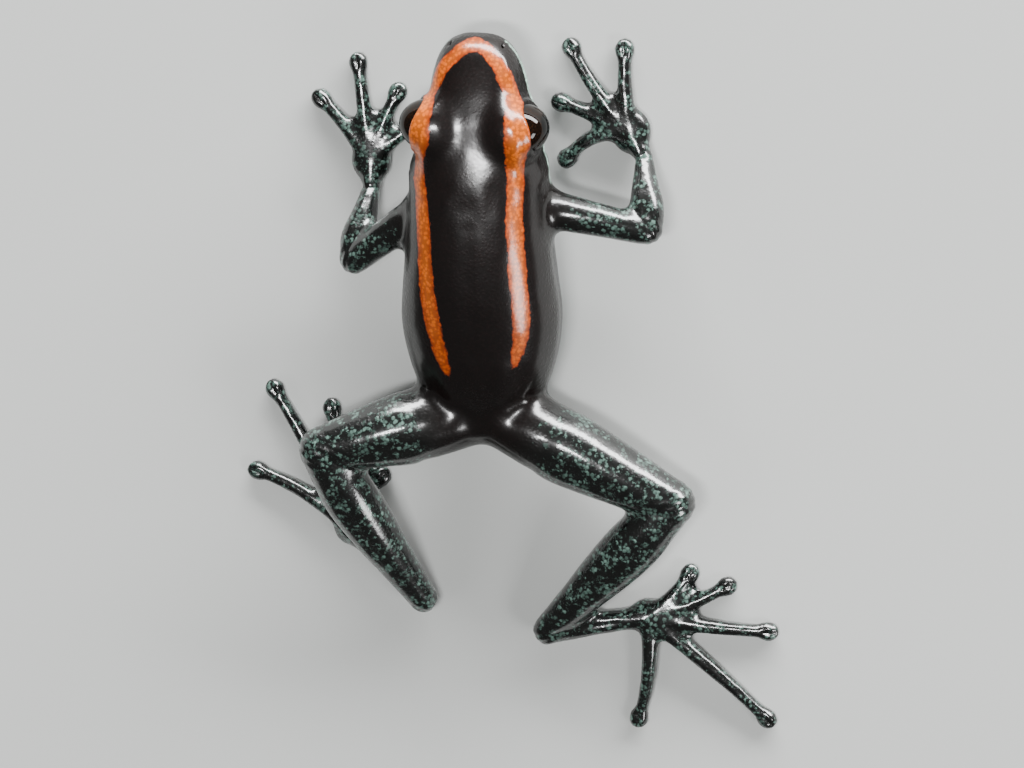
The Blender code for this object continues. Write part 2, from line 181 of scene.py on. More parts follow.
SWELL = 0.25 * MM
swell = skin.modifiers.new("swell", "DISPLACE")
swell.strength = SWELL
swell.mid_level = 0
bpy.ops.object.modifier_apply(modifier="swell")

WAYS = {"right": 1, "left": -1}
EYE_RADIUS = 1.55 * MM
SOCKET_UNDER_EYE = 0.06 * MM
eye_centres = {}
for side in WAYS:
    low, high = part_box("eye_" + side)
    eye_centres[side] = (low + high) / 2
    bpy.ops.object.select_all(action="DESELECT")
    bpy.ops.mesh.primitive_uv_sphere_add(
        segments=48,
        ring_count=24,
        radius=EYE_RADIUS - SOCKET_UNDER_EYE + SWELL,
        location=eye_centres[side],
    )
    pick(bpy.context.object, skin)
    bpy.ops.object.join()

fuse = skin.modifiers.new("fuse", "REMESH")
fuse.mode = "VOXEL"
fuse.voxel_size = 0.135 * MM
bpy.ops.object.modifier_apply(modifier="fuse")

# Only what hangs together with the back is skin: a speck left between the toes goes.
bpy.ops.object.mode_set(mode="EDIT")
bpy.ops.mesh.select_all(action="DESELECT")
bpy.ops.object.mode_set(mode="OBJECT")
max(skin.data.vertices, key=lambda vertex: vertex.co.z).select = True
bpy.ops.object.mode_set(mode="EDIT")
bpy.ops.mesh.select_linked()
bpy.ops.mesh.select_all(action="INVERT")
bpy.ops.mesh.delete(type="VERT")
bpy.ops.object.mode_set(mode="OBJECT")


def coordinates(mesh):
    """Every vertex's place and normal, as two arrays."""
    places = np.empty(len(mesh.vertices) * 3)
    mesh.vertices.foreach_get("co", places)
    normals = np.empty(len(mesh.vertices) * 3)
    mesh.vertices.foreach_get("normal", normals)
    return places.reshape(-1, 3), normals.reshape(-1, 3)


def move_to(mesh, places):
    """Moves every vertex to its new place."""
    mesh.vertices.foreach_set("co", places.ravel())
    mesh.update()


def softened(edges, values, passes):
    """Values at the vertices, averaged with their neighbours so many times."""
    count = np.bincount(edges.ravel(), minlength=len(values)).astype(float)
    for _ in range(passes):
        total = np.bincount(edges[:, 0], values[edges[:, 1]], len(values))
        total += np.bincount(edges[:, 1], values[edges[:, 0]], len(values))
        values = (values + total / count) / 2
    return values


def work_smooth(shares, steps, passes):
    """Smooths the skin by each vertex's share from 0 to 1, which is taken in so many steps."""
    group = skin.vertex_groups.new(name="shares")
    for step in range(1, steps + 1):
        chosen = np.nonzero(np.round(shares * steps) == step)[0]
        group.add(chosen.tolist(), step / steps, "REPLACE")
    smooth = skin.modifiers.new("work smooth", "SMOOTH")
    smooth.iterations = passes
    smooth.vertex_group = "shares"
    bpy.ops.object.modifier_apply(modifier="work smooth")
    skin.vertex_groups.remove(skin.vertex_groups["shares"])


# Each vertex belongs to the solid that it is nearest to, and that solid says how soft it is.
places, normals = coordinates(skin.data)
marks = [(name, mark.co.copy()) for name in flesh for mark in frame["nodes"][name].data.vertices]
near_flesh = KDTree(len(marks))
for index, (name, place) in enumerate(marks):
    near_flesh.insert(place, index)
near_flesh.balance()
part_of = np.array([marks[near_flesh.find(place)[1]][0] for place in places])

SOFTNESS = {
    "torso": 1.0,
    "head": 0.85,
    "thigh": 0.75,
    "shank": 0.7,
    "tarsus": 0.5,
    "upper_arm": 0.6,
    "forearm": 0.5,
    "hand": 0.2,
    "foot": 0.2,
}
SOCKET_SOFTNESS = 0.6
SOCKET_REACH = 2.35 * MM
edges = np.empty(len(skin.data.edges) * 2, int)
skin.data.edges.foreach_get("vertices", edges)
edges = edges.reshape(-1, 2)
softness = np.zeros(len(places))
for kind, share in SOFTNESS.items():
    softness[np.char.startswith(part_of, kind)] = share
for centre in eye_centres.values():
    around = np.linalg.norm(places - np.array(centre), axis=1) < SOCKET_REACH
    softness[around] = SOCKET_SOFTNESS
work_smooth(softened(edges, softness, passes=8), steps=20, passes=70)

SKIN_THICKNESS = 0.03 * MM
places, normals = coordinates(skin.data)
places -= normals * (SWELL - SKIN_THICKNESS)
move_to(skin.data, places)

# Living flesh is never quite even: low swells about 2 mm across, 0.05 mm high.
unevenness = bpy.data.textures.new("unevenness of flesh", "CLOUDS")
unevenness.noise_scale = 2.2 * MM
uneven = skin.modifiers.new("uneven", "DISPLACE")
uneven.texture = unevenness
uneven.texture_coords = "LOCAL"
uneven.strength = 0.05 * MM
uneven.mid_level = 0.5
bpy.ops.object.modifier_apply(modifier="uneven")


# Muscles and folds. Under the thin skin of the limbs the muscles lie in two bundles with a
# furrow between them, the skin creases on the inner side of each bend, and the hip bones show
# on the back.
def frog(right, forward, up):
    """A place on the frog, given in millimetres to its right, forward and up."""
    return Vector((-right, -forward, up)) * MM


def near(points, line):
    """How far each point is from a line of points, and how far along the line that is, 0 to 1."""
    best = np.full(len(points), 1e9)
    along = np.zeros(len(points))
    for i in range(len(line) - 1):
        start, step = line[i], line[i + 1] - line[i]
        share = np.clip((points - start) @ step / max(step @ step, 1e-18), 0, 1)
        away = np.linalg.norm(points - start - share[:, None] * step, axis=1)
        closer = away < best
        best[closer] = away[closer]
        along[closer] = (i + share[closer]) / (len(line) - 1)
    return best, along


def bell(values, width):
    """A rounded rise: 1 where a value is 0, and less than a fiftieth at twice the width."""
    return np.exp(-((values / width) ** 2))


def eased(values):
    """Values from 0 to 1 with soft ends, clipped outside."""
    values = np.clip(values, 0, 1)
    return values * values * (3 - 2 * values)


def skin_tree():
    """The skin as it is now, for finding places on it."""
    return BVHTree.FromObject(skin, bpy.context.evaluated_depsgraph_get())


def skin_line(tree, points):
    """The points of the skin nearest to rough ones, given as right, forward, up."""
    return np.array([np.array(tree.find_nearest(frog(*point))[0]) for point in points])


joints = {
    "right": {
        "shoulder": frog(3.6, 7.3, 3.8),
        "elbow": frog(10.1, 5.9, 3.0),
        "wrist": frog(9.5, 9.9, 1.0),
        "palm": frog(8.6, 11.4, 0.75),
        "hip": frog(1.3, -5.95, 3.0),
        "knee": frog(11.8, -10.95, 3.2),
        "ankle": frog(3.6, -20.0, 1.25),
        "sole": frog(9.8, -18.9, 0.8),
    },
    "left": {
        "shoulder": frog(-3.3, 7.0, 3.8),
        "elbow": frog(-8.0, 3.2, 3.0),
        "wrist": frog(-7.3, 7.3, 1.0),
        "palm": frog(-7.4, 8.9, 0.75),
        "hip": frog(-1.1, -5.95, 3.0),
        "knee": frog(-9.65, -8.1, 5.3),
        "ankle": frog(-4.1, -18.4, 1.3),
        "sole": frog(-8.8, -14.2, 0.8),
    },
}
# Each length of limb: its ends, the side that angles turn to, its furrow (angle, depth, from and
# to along it), and its swells (angle, place along it, height). Angles are degrees round the limb
# from its top, places are shares of its length, and heights are millimetres above the skin.
muscles = {
    "thigh": ("hip", "knee", "rear", (20, 0.13, 0.2, 0.85), ((-55, 0.4, 0.12), (80, 0.35, 0.15))),
    "shank": (
        "knee",
        "ankle",
        "outer",
        (15, 0.11, 0.12, 0.7),
        ((75, 0.32, 0.14), (-60, 0.3, 0.08)),
    ),
    "tarsus": ("ankle", "sole", "rear", (0, 0.07, 0.15, 0.8), ()),
    "forearm": ("elbow", "wrist", "outer", (5, 0.07, 0.1, 0.65), ((70, 0.3, 0.09),)),
    "upper_arm": ("shoulder", "elbow", "rear", (10, 0.05, 0.35, 0.9), ((-60, 0.6, 0.07),)),
}
FURROW_ANGLE = 15
FURROW_FADE = 0.15
SWELL_ANGLE = 42
SWELL_LENGTH = 0.2
# Each bend, with the joints before and after it, and the limb's radius there in millimetres.
bends = (
    ("shoulder", "elbow", "wrist", 0.96),
    ("elbow", "wrist", "palm", 0.62),
    ("hip", "knee", "ankle", 1.40),
    ("knee", "ankle", "sole", 0.95),
)
# How far a bend's folds reach, in radii of the limb: along it, to its inner side, and wrinkled.
BEND_REACH = 1.9
BEND_INSIDE = 0.7
WRINKLED_REACH = 0.9
CREASE_DEPTH = 0.11
CREASE_WIDTH = 0.16
WRINKLE_HEIGHT = 0.025
WRINKLE_SPACING = 0.52
places, normals = coordinates(skin.data)
push = np.zeros(len(places))
for side, way in WAYS.items():
    for kind, (first, last, hint, furrow, swells) in muscles.items():
        belongs = softened(edges, (part_of == kind + "_" + side).astype(float), passes=14)
        start, stop = joints[side][first], joints[side][last]
        axis = (stop - start).normalized()
        top = (Vector((0, 0, 1)) - axis * axis.z).normalized()
        aside = axis.cross(top)
        wanted = Vector((0, 1, 0)) if hint == "rear" else Vector((-way, 0, 0))
        if aside.dot(wanted) < 0:
            aside = -aside
        offset = places - np.array(start)
        along = offset @ np.array(axis) / (stop - start).length
        angle = np.degrees(np.arctan2(offset @ np.array(aside), offset @ np.array(top)))
        at, depth, begin, end = furrow
        reach = eased((along - begin) / FURROW_FADE) * eased((end - along) / FURROW_FADE)
        push -= belongs * depth * bell(angle - at, FURROW_ANGLE) * reach
        for at, place, height in swells:
            round_it = bell(angle - at, SWELL_ANGLE)
            push += belongs * height * round_it * bell(along - place, SWELL_LENGTH)
    for before, bend, after, radius in bends:
        spot = joints[side][bend]
        into = (spot - joints[side][before]).normalized()
        out = (joints[side][after] - spot).normalized()
        across, inner = (into + out).normalized(), (out - into).normalized()
        offset = (places - np.array(spot)) / MM
        along, inwards = offset @ np.array(across), offset @ np.array(inner)
        close = np.exp(-((np.linalg.norm(offset, axis=1) / (BEND_REACH * radius)) ** 4))
        inside = eased(inwards / (BEND_INSIDE * radius))
        push -= CREASE_DEPTH * bell(along, CREASE_WIDTH) * inside * close
        wrinkles = np.cos(along * 2 * math.pi / WRINKLE_SPACING)
        wrinkles *= bell(along, WRINKLED_REACH * radius)
        push += WRINKLE_HEIGHT * wrinkles * close * (1 - 0.6 * inside)

# The back and the face: rough points of a line, and the width and the height of its form.
paired_forms = {
    "hip bone": (((1.9, -2.4, 7), (1.6, -4.6, 6), (1.1, -6.8, 5)), 0.62, 0.07),
    "hollow beside the hip bone": (((3.1, -3.0, 6), (2.3, -5.6, 5)), 0.55, -0.07),
    "shoulder blade": (((2.2, 7.4, 8), (2.6, 5.8, 8)), 0.9, 0.06),
    "hollow before the shoulder blade": (((1.7, 9.0, 8), (2.4, 8.9, 8)), 0.6, -0.05),
    "hollow before the eye": (((3.2, 15.6, 4.8), (3.5, 14.6, 4.8)), 0.75, -0.12),
    "ridge from nostril to eye": (((1.9, 16.8, 5.8), (2.75, 14.9, 6.3)), 0.30, 0.06),
    "flank": (((4.9, 4.6, 4.2), (5.2, 2.0, 3.4), (5.0, -1.2, 3.2)), 0.5, -0.05),
    "groin": (((3.0, -4.2, 4.5), (2.7, -5.0, 3.0)), 0.26, -0.10),
}
middle_forms = {
    "furrow of the spine": (((0, 6.5, 8), (0, 2.0, 8), (0, -1.6, 8)), 0.5, -0.035),
    "tail bone": (((0, -2.6, 7), (0, -4.8, 6), (0, -6.6, 4.6)), 0.6, 0.04),
}
tree = skin_tree()
for way in WAYS.values():
    for points, width, height in paired_forms.values():
        line = skin_line(tree, [(way * right, forward, up) for right, forward, up in points])
        push += height * bell(near(places, line)[0], width * MM)
for points, width, height in middle_forms.values():
    push += height * bell(near(places, skin_line(tree, points))[0], width * MM)
places += normals * (push * MM)[:, None]
move_to(skin.data, places)


# The eyelids. They close round each eye in a thin soft edge, a little lower over its top than in
# front and behind, and the upper one has a fold above it. The skin round each eye is drawn to
# that form along lines from the eye's middle, and stays hidden just under the ball inside it.
def eye_ways(way):
    """The way that an eye looks, mostly outwards, and the ways level across it and up it."""
    gaze = Vector((-way * 0.93, -0.22, 0.24)).normalized()
    level = Vector((0, 0, 1)).cross(gaze).normalized()
    return gaze, level, gaze.cross(level)


# Angles are degrees from the way that the eye looks, and heights are millimetres from the ball.
LID_OPENING = 66
UPPER_LID_DROP, LOWER_LID_RISE = 21, 5
LID_EDGE_UNDER_EYE, LID_RISE, LID_RISE_ANGLE = 0.12, 0.36, 9
LID_ENDS_FROM, LID_ENDS_OVER = 8, 30
FOLD_DEPTH, FOLD_AT, FOLD_ANGLE = 0.07, 26, 5
LID_SKIN_REACH, LID_SKIN_PAST = 3.2 * MM, 40
LID_SMOOTH_REACH, LID_SMOOTH_PAST = 3.4 * MM, 70
LID_FRONT = (2.6, 14.3, 6.2)
LID_FRONT_REACH = 1.5 * MM
CLEAR_OF_BALL = 0.35 * MM
places, normals = coordinates(skin.data)
for side, way in WAYS.items():
    gaze, level, height = eye_ways(way)
    centre = np.array(eye_centres[side])
    offset = places - centre
    reach = np.linalg.norm(offset, axis=1)
    tilt = np.degrees(np.arccos(np.clip(offset @ np.array(gaze) / reach, -1, 1)))
    above = offset @ np.array(height)
    share = above / np.maximum(np.hypot(above, offset @ np.array(level)), 1e-9)
    opening = LID_OPENING - np.where(share > 0, UPPER_LID_DROP, LOWER_LID_RISE) * share**2
    past = tilt - opening
    lid = EYE_RADIUS + (-LID_EDGE_UNDER_EYE + LID_RISE * eased(past / LID_RISE_ANGLE)) * MM
    blend = eased((past - LID_ENDS_FROM) / LID_ENDS_OVER)
    fold = -FOLD_DEPTH * bell(past - FOLD_AT, FOLD_ANGLE) * eased((share + 0.2) / 0.6)
    drawn = lid * (1 - blend) + reach * blend + fold * MM
    inside = (reach < LID_SKIN_REACH) & (past < LID_SKIN_PAST)
    places[inside] = centre + offset[inside] * (drawn / reach)[inside, None]
    ring = (reach < LID_SMOOTH_REACH) & (past > LID_RISE_ANGLE) & (past < LID_SMOOTH_PAST)
    move_to(skin.data, places)
    work_smooth(ring.astype(float), steps=1, passes=10)
    # The ridge that this leaves at the lid's front is softened, clear of the ball.
    places, normals = coordinates(skin.data)
    lid_front = np.array(frog(way * LID_FRONT[0], *LID_FRONT[1:]))
    ridge = np.linalg.norm(places - lid_front, axis=1) < LID_FRONT_REACH
    clear = np.linalg.norm(places - centre, axis=1) > EYE_RADIUS + CLEAR_OF_BALL
    ridge = softened(edges, (ridge & clear).astype(float), passes=6)
    work_smooth(ridge * clear, steps=5, passes=40)
    places, normals = coordinates(skin.data)


# The mouth, nostrils and ears. The mouth is a fine line round the whole front of the head, under
# a rounded upper lip. The nostrils open near the end of the snout, and each ear is a small
# shallow disc behind and below the eye.
def smooth_curve(values, t):
    """A value at t, 0 to 1, on a smooth curve through evenly spaced values."""
    last = len(values) - 1
    place = min(max(t, 0), 1) * last
    i = min(int(place), last - 1)
    u = place - i
    a, b = values[max(i - 1, 0)], values[i]
    c, d = values[i + 1], values[min(i + 2, last)]
    return b + 0.5 * u * (c - a + u * (2 * a - 5 * b + 4 * c - d + u * (3 * (b - c) + d - a)))


# The mouth's line is found on the skin from outside, round a point inside the head. It starts
# level at the snout, sinks to each side, and fades over a fourteenth of its length at its ends.
MOUTH_HEIGHTS = (4.02, 3.80, 3.62, 3.52, 3.44, 3.12)
MOUTH_MIDDLE = 11.0
MOUTH_TURN = 105
MOUTH_STEPS = 40
MOUTH_FADE = 14
OUTSIDE_HEAD = 12
MOUTH_DEPTH, MOUTH_WIDTH = 0.16, 0.15 * MM
UPPER_LIP_HEIGHT, UPPER_LIP_OVER, UPPER_LIP_WIDTH = 0.04, 0.42 * MM, 0.22 * MM
tree = skin_tree()
mouth = []
for i in range(-MOUTH_STEPS, MOUTH_STEPS + 1):
    angle = math.radians(MOUTH_TURN * i / MOUTH_STEPS)
    out = Vector((-math.sin(angle), -math.cos(angle), 0))
    height = smooth_curve(MOUTH_HEIGHTS, abs(i) / MOUTH_STEPS)
    start = frog(0, MOUTH_MIDDLE, height) + out * OUTSIDE_HEAD * MM
    mouth.append(np.array(tree.ray_cast(start, -out)[0]))
mouth = np.array(mouth)
places, normals = coordinates(skin.data)
away, along = near(places, mouth)
push = -MOUTH_DEPTH * bell(away, MOUTH_WIDTH)
push += UPPER_LIP_HEIGHT * bell(away - UPPER_LIP_OVER, UPPER_LIP_WIDTH)
push *= eased(np.minimum(along, 1 - along) * MOUTH_FADE)

# A nostril is an oval, longer upwards than across, and what lies beyond its reach counts as far.
# Nostrils and ears are found from places outside the head.
NOSTRIL_FROM = (1.25, 19.0, 5.1)
EAR_FROM = (8.0, 9.75, 4.85)
NOSTRIL_DEPTH, NOSTRIL_WIDTH, NOSTRIL_REACH = 0.24 * MM, 0.11 * MM, 0.8 * MM
EAR_RIM_HEIGHT, EAR_RIM_RADIUS, EAR_RIM_WIDTH = 0.03, 0.52 * MM, 0.13 * MM
EAR_DEPTH, EAR_WIDTH = 0.04, 0.38 * MM
FAR = 9.0
hole = np.full(len(places), FAR)
for way in WAYS.values():
    outside = frog(way * NOSTRIL_FROM[0], *NOSTRIL_FROM[1:])
    nostril = np.array(tree.ray_cast(outside, Vector((-way * 0.25, 1, 0)))[0])
    inwards = np.array(Vector((way * 0.72, 0.62, -0.3)).normalized())
    offset = places - nostril
    ahead = offset @ inwards
    tall = offset @ np.array(Vector((0, 0.35, 0.94)))
    away = np.linalg.norm(offset - ahead[:, None] * inwards, axis=1)
    away = np.sqrt(np.maximum(away**2 - 0.6 * tall**2, 0))
    away = np.where(np.abs(ahead) < NOSTRIL_REACH, away, FAR)
    hole = np.minimum(hole, away / MM)
    places += NOSTRIL_DEPTH * bell(away, NOSTRIL_WIDTH)[:, None] * inwards
    outside = frog(way * EAR_FROM[0], *EAR_FROM[1:])
    ear = np.array(tree.ray_cast(outside, Vector((way, 0, 0)))[0])
    away = np.linalg.norm(places - ear, axis=1)
    rim = EAR_RIM_HEIGHT * bell(away - EAR_RIM_RADIUS, EAR_RIM_WIDTH)
    push += rim - EAR_DEPTH * bell(away, EAR_WIDTH)
places += normals * (push * MM)[:, None]
move_to(skin.data, places)


# The discs of the fingers and toes. Each ends in a small flat disc, and on its upper side lie two
# pads with a fine furrow between them, as in all of this frog's family.
# Each digit: its direction and length from its palm or sole, and how far it curls to each side.
digits = {
    ("right", "palm"): ((-112, 4.6, -30), (-70, 4.6, -4), (-38, 6.2, 8), (-6, 5.0, 6)),
    ("left", "palm"): ((50, 4.3, 10), (20, 4.5, 6), (-8, 6.0, 0), (-40, 4.8, -8)),
    ("right", "sole"): (
        (44, 3.7, -12),
        (68, 5.2, -8),
        (96, 7.4, -4),
        (130, 9.6, 4),
        (184, 6.7, 12),
    ),
    ("left", "sole"): ((30, 3.7, 10), (10, 5.2, 6), (-9, 7.4, 0), (-29, 9.6, -4), (-60, 6.7, -14)),
}
DIGIT_STEPS = 8
DISC_HEIGHT = 0.7 * MM
DISC_REACH_UP = 0.9
PAD_HEIGHT, PAD_ASIDE, PAD_WIDTH, PAD_AHEAD, PAD_LENGTH = 0.06, 0.27, 0.17, 0.05, 0.36
GAP_DEPTH, GAP_WIDTH, GAP_AHEAD, GAP_LENGTH = 0.05, 0.12, 0.1, 0.36
FLOOR_REACH = 0.06 * MM
places, normals = coordinates(skin.data)
push = np.zeros(len(places))
furrows = near(places, mouth)[0] / MM
for (side, root), rays in digits.items():
    for angle, length, curl in rays:
        tip = joints[side][root]
        for i in range(DIGIT_STEPS + 1):
            turn = math.radians(angle + curl * (2 * i / DIGIT_STEPS - 1))
            heading = Vector((-math.sin(turn), -math.cos(turn), 0))
            if i:
                tip = tip + heading * (length / DIGIT_STEPS * MM)
        tip = np.array((tip.x, tip.y, DISC_HEIGHT))
        heading = np.array(heading)
        across = np.array((heading[1], -heading[0], 0))
        offset = (places - tip) / MM
        sideways, ahead = offset @ across, offset @ heading
        on_top = eased(normals[:, 2] / 0.5) * (np.abs(offset[:, 2]) < DISC_REACH_UP)
        pads = bell(np.abs(sideways) - PAD_ASIDE, PAD_WIDTH) * bell(ahead - PAD_AHEAD, PAD_LENGTH)
        push += PAD_HEIGHT * pads * on_top
        gap = np.hypot(sideways, np.maximum(np.abs(ahead - GAP_AHEAD) - GAP_LENGTH, 0))
        push -= GAP_DEPTH * bell(gap, GAP_WIDTH) * on_top
        furrows = np.minimum(furrows, np.where(on_top > 0.2, gap, FAR))
places += normals * (push * MM)[:, None]
places[places[:, 2] < FLOOR_REACH, 2] = 0
move_to(skin.data, places)
pick(skin)
bpy.ops.object.shade_smooth()


# The skin's markings. The orange stripes run from the snout over the lids and the back to the
# rump, a pale line follows the upper lip to the arm, and the limbs and the belly are mottled.
def curve_points(points, steps):
    """Points in so many even steps on a smooth curve through the given ones."""
    return [[smooth_curve(values, i / steps) for values in zip(*points)] for i in range(steps + 1)]


def outside_band(line, half_widths):
    """How far each point of the skin lies outside a band that follows a line."""
    away, along = near(places, line)
    return away / MM - np.interp(along, np.linspace(0, 1, len(half_widths)), half_widths)


def keep_at_points(mesh, title, values):
    """Keeps a value at each point of a mesh, for the material to read."""
    layer = mesh.attributes.new(title, "FLOAT", "POINT")
    layer.data.foreach_set("value", values.astype(np.float32))


STRIPE_PATHS = (
    ((0.0, 17.7), (0.6, 17.4), (1.15, 16.9), (1.75, 16.1), (2.3, 15.0), (2.75, 13.9))
    + ((3.05, 12.4), (2.85, 10.8), (2.75, 9.2), (2.72, 7.6), (2.8, 6.0), (2.87, 4.4))
    + ((2.97, 2.8), (3.05, 1.4), (3.05, 0.3), (2.9, -0.7), (2.65, -1.6), (2.35, -2.4)),
    ((0.0, 17.7), (-0.6, 17.4), (-1.25, 16.8), (-1.95, 16.0), (-2.45, 15.0), (-2.9, 13.9))
    + ((-3.2, 12.3), (-3.3, 10.7), (-3.15, 9.1), (-2.97, 7.5), (-2.87, 5.9), (-2.78, 4.3))
    + ((-2.68, 2.7), (-2.47, 1.2), (-2.25, 0.0), (-2.0, -1.1), (-1.7, -2.2), (-1.4, -3.2)),
)
STRIPE_HALF_WIDTHS = (0.40, 0.42, 0.44, 0.48, 0.53, 0.66, 0.86, 0.64, 0.54)
STRIPE_HALF_WIDTHS += (0.55, 0.55, 0.55, 0.55, 0.55, 0.52, 0.44, 0.32, 0.12)
# The stripes are laid down from above, or at the snout's height where they pass beyond its tip.
ABOVE_FROG = 12
SNOUT_HEIGHT = 5.3
tree = skin_tree()
places, normals = coordinates(skin.data)
stripe = np.full(len(places), FAR)
for path in STRIPE_PATHS:
    line = []
    for right, forward in curve_points(path, steps=85):
        found = tree.ray_cast(frog(right, forward, ABOVE_FROG), Vector((0, 0, -1)))[0]
        beside = frog(right, forward, SNOUT_HEIGHT)
        line.append(np.array(found or tree.find_nearest(beside)[0]))
    stripe = np.minimum(stripe, outside_band(np.array(line), STRIPE_HALF_WIDTHS))
stripe = softened(edges, stripe, passes=20)

LIP_PATH = (
    (1.6, 17.4, 4.5),
    (2.5, 16.4, 4.35),
    (3.2, 15.0, 4.2),
    (3.8, 13.0, 4.05),
    (4.3, 11.2, 3.95),
    (4.6, 9.8, 3.95),
    (4.7, 8.9, 4.05),
)
LIP_HALF_WIDTHS = (0.05, 0.12, 0.15, 0.17, 0.17, 0.14, 0.04)
lip = np.full(len(places), FAR)
for way in WAYS.values():
    path = curve_points(LIP_PATH, steps=40)
    line = skin_line(tree, [(way * right, forward, up) for right, forward, up in path])
    lip = np.minimum(lip, outside_band(line, LIP_HALF_WIDTHS))

# The mottling of a thigh or an upper arm starts so far along it, and within so far of its bone.
MOTTLED_ROOTS = (("hip", "knee", 2.4, 3.0), ("shoulder", "elbow", 1.6, 1.8))
limb = (~np.isin(part_of, ("torso", "head"))).astype(float)
for side in WAYS:
    for first, last, clear, wide in MOTTLED_ROOTS:
        start, stop = joints[side][first], joints[side][last]
        axis = np.array((stop - start).normalized())
        offset = (places - np.array(start)) / MM
        along = offset @ axis
        away = np.linalg.norm(offset - along[:, None] * axis, axis=1)
        limb[(along > clear) & (away < wide)] = 1
limb = softened(edges, limb, passes=160)
# The belly begins where the skin turns down, and the flank where it is no longer level.
BELLY_FROM, BELLY_OVER = 0.05, 0.5
FLANK_FROM, FLANK_OVER = 0.85, 0.6
under = np.clip((BELLY_FROM - normals[:, 2]) / BELLY_OVER, 0, 1)
under = softened(edges, under, passes=12) * (1 - limb)
flank = np.clip((FLANK_FROM - normals[:, 2]) / FLANK_OVER, 0, 1)
flank = softened(edges, flank, passes=12) * (1 - limb)
# Each is a distance in millimetres or a share, so that the colours follow the body.
markings = {
    "stripe": stripe,
    "lip": lip,
    "limb": limb,
    "under": under,
    "flank": flank,
    "furrow": np.minimum(furrows, 2.0),
    "hole": np.minimum(hole, 2.0),
}
for title, values in markings.items():
    keep_at_points(skin.data, title, values)


# Moist frog skin: a living skin, thin and kept wet by its own glands, smooth on the back and
# finely pebbled on the limbs and belly. It is near black with a warm cast, and gives soft broad
# light with small sharp wet glints over it.
skin_material = bpy.data.materials.new("moist frog skin")
skin_material.use_nodes = True
tree_nodes = skin_material.node_tree.nodes
tree_links = skin_material.node_tree.links
shader = tree_nodes["Principled BSDF"]


def add_node(kind, settings=None, links=None):
    """Adds a shader node, sets its properties and its input values, and links its inputs."""
    node = tree_nodes.new(kind)
    for key, value in (settings or {}).items():
        if isinstance(key, str) and hasattr(node, key):
            setattr(node, key, value)
        else:
            node.inputs[key].default_value = value
    for key, source in (links or {}).items():
        tree_links.new(source, node.inputs[key])
    return node


position = add_node("ShaderNodeTexCoord").outputs["Object"]
at = {}
for title in markings:
    at[title] = add_node("ShaderNodeAttribute", {"attribute_name": title}).outputs["Fac"]

# Every pattern's scale is its number of grains, blotches or pebbles in a millimetre. The pigment
# is uneven in clouds 2 mm across, the stripes' edges wander every 0.8 mm, and the fine grain is
# about 0.15 mm.
CLOUDS_IN_A_MM = 0.5
WANDERS_IN_A_MM = 1.3
GRAINS_IN_A_MM = 6.5
cloud = add_node(
    "ShaderNodeTexNoise", {"Scale": CLOUDS_IN_A_MM / MM, "Detail": 3.0}, {"Vector": position}
)
grain = add_node(
    "ShaderNodeTexNoise", {"Scale": GRAINS_IN_A_MM / MM, "Detail": 2.0}, {"Vector": position}
)
ragged = add_node(
    "ShaderNodeTexNoise", {"Scale": WANDERS_IN_A_MM / MM, "Detail": 3.0}, {"Vector": position}
)

# Pebbles 0.23 mm apart, of uneven shapes. Each keeps one colour, so the mottling follows them.
PEBBLES_IN_A_MM = 4.3
SWAYS_IN_A_MM = 7.0
PEBBLE_SWAY = 0.12 * MM
sway = add_node(
    "ShaderNodeTexNoise", {"Scale": SWAYS_IN_A_MM / MM, "Detail": 1.0}, {"Vector": position}
)
uneven_place = add_node(
    "ShaderNodeVectorMath",
    {"operation": "MULTIPLY_ADD", 1: (PEBBLE_SWAY, PEBBLE_SWAY, PEBBLE_SWAY)},
    {0: sway.outputs["Color"], 2: position},
)
pebbles = add_node(
    "ShaderNodeTexVoronoi", {"Scale": PEBBLES_IN_A_MM / MM}, {"Vector": uneven_place.outputs[0]}
)
pebble_tint = add_node("ShaderNodeSeparateColor", {}, {0: pebbles.outputs["Color"]})

# Mottling of the limbs: ragged blotches of green pebbles about 0.8 mm apart, rarer near the trunk.
SPOTS_IN_A_MM = 1.25
spots = add_node(
    "ShaderNodeTexNoise",
    {"Scale": SPOTS_IN_A_MM / MM, "Detail": 4.0, "Roughness": 0.7},
    {"Vector": position},
)
tinted_share = add_node(
    "ShaderNodeMath", {"operation": "MULTIPLY", 1: 0.08}, {0: pebble_tint.outputs[1]}
)
limb_share = add_node(
    "ShaderNodeMath",
    {"operation": "MULTIPLY_ADD", 1: 0.30},
    {0: at["limb"], 2: tinted_share.outputs[0]},
)
limb_level = add_node(
    "ShaderNodeMath", {"operation": "ADD"}, {0: spots.outputs["Fac"], 1: limb_share.outputs[0]}
)
limb_clusters = add_node(
    "ShaderNodeMapRange",
    {"interpolation_type": "SMOOTHSTEP", "From Min": 0.82, "From Max": 0.89},
    {"Value": limb_level.outputs[0]},
)
pebble_round = add_node(
    "ShaderNodeMapRange",
    {"interpolation_type": "SMOOTHSTEP", "From Min": 0.72, "From Max": 0.42},
    {"Value": pebbles.outputs["Distance"]},
)
limb_spots = add_node(
    "ShaderNodeMath",
    {"operation": "MULTIPLY"},
    {0: limb_clusters.outputs[0], 1: pebble_round.outputs[0]},
)

